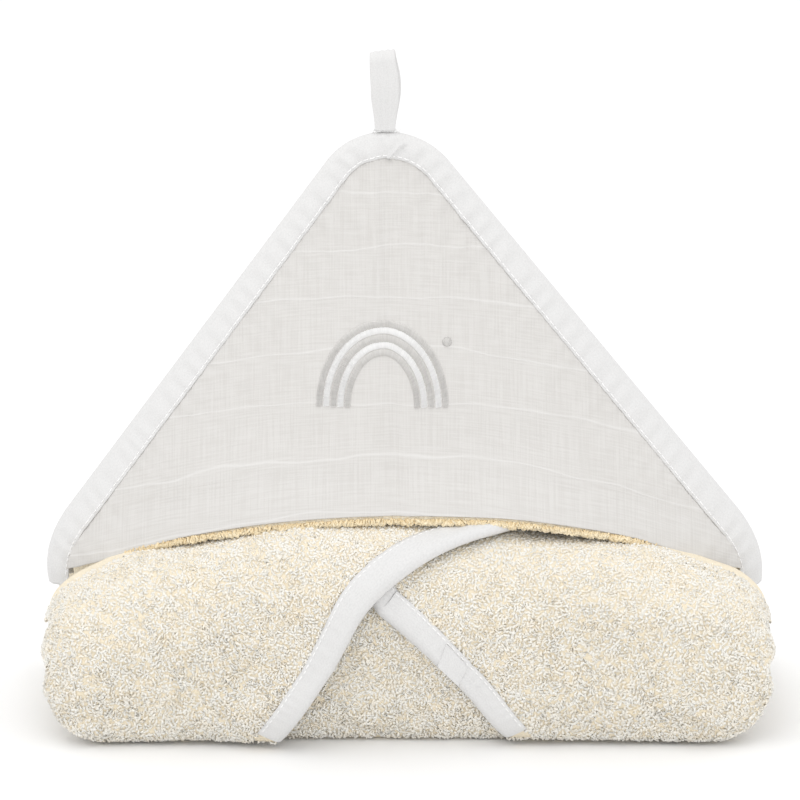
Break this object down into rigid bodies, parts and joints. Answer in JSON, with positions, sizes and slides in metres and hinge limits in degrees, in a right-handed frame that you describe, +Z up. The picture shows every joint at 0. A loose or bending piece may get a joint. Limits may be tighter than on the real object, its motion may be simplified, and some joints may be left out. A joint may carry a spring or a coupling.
{
  "type": "hooded baby towel",
  "caption": "Folded hooded baby towel: a terry roll with wrapped corners, and a muslin-faced corner hood with bias binding and a hanging loop standing over it.",
  "frame": {"origin": "under the middle of the folded towel, on the surface it stands on", "axes": "+Z up; -Y is the front, where the wraps cross and the embroidered face shows; +X is to the right seen from the front"},
  "size_m": [0.3465, 0.1311, 0.3173],
  "materials": {
    "terry": "looped cotton terry",
    "muslin": "plain-weave cotton muslin",
    "binding_tape": "folded cotton bias tape",
    "grey_thread": "satin-stitched thread",
    "white_thread": "satin-stitched thread"
  },
  "bodies": {
    "bundle": {"towel_roll": "terry", "left_side_fold": "terry", "right_side_fold": "terry"},
    "left_wrap": {"left_wrap": "terry", "left_wrap_binding": "binding_tape", "left_wrap_topstitch": "white_thread"},
    "right_wrap": {"right_wrap": "terry", "right_wrap_binding": "binding_tape", "right_wrap_topstitch": "white_thread", "binding_join": "binding_tape"},
    "hood": {"hood_face": "muslin", "hood_lining": "terry", "hood_back": "terry", "hood_binding": "binding_tape", "hood_topstitch": "white_thread", "rainbow_outer_band": "grey_thread", "rainbow_outer_fill": "white_thread", "rainbow_middle_band": "grey_thread", "rainbow_inner_fill": "white_thread", "rainbow_inner_band": "grey_thread", "embroidered_star": "grey_thread", "loop_bartack": "white_thread"},
    "hanging_loop": {"hanging_loop": "binding_tape"}
  },
  "joints": [
    {"name": "hood_tip", "type": "hinge", "parent": "bundle", "child": "hood", "pos_m": [0, 0.0545, 0.084], "axis": [-1, 0, 0], "range_deg": [0, 110]},
    {"name": "loop_swing", "type": "hinge", "parent": "hood", "child": "hanging_loop", "pos_m": [-0.01, 0.01965, 0.28], "axis": [-1, 0, 0], "range_deg": [-75, 75]},
    {"name": "left_wrap_open", "type": "hinge", "parent": "bundle", "child": "left_wrap", "pos_m": [-0.112, -0.0575, 0], "axis": [0, 0, -1], "range_deg": [0, 30]},
    {"name": "right_wrap_open", "type": "hinge", "parent": "bundle", "child": "right_wrap", "pos_m": [0.112, -0.0575, 0], "axis": [0, 0, 1], "range_deg": [0, 4.5]}
  ],
  "couplings": [
    {"joint": "right_wrap_open", "follows": "left_wrap_open", "ratio": 0.15}
  ]
}
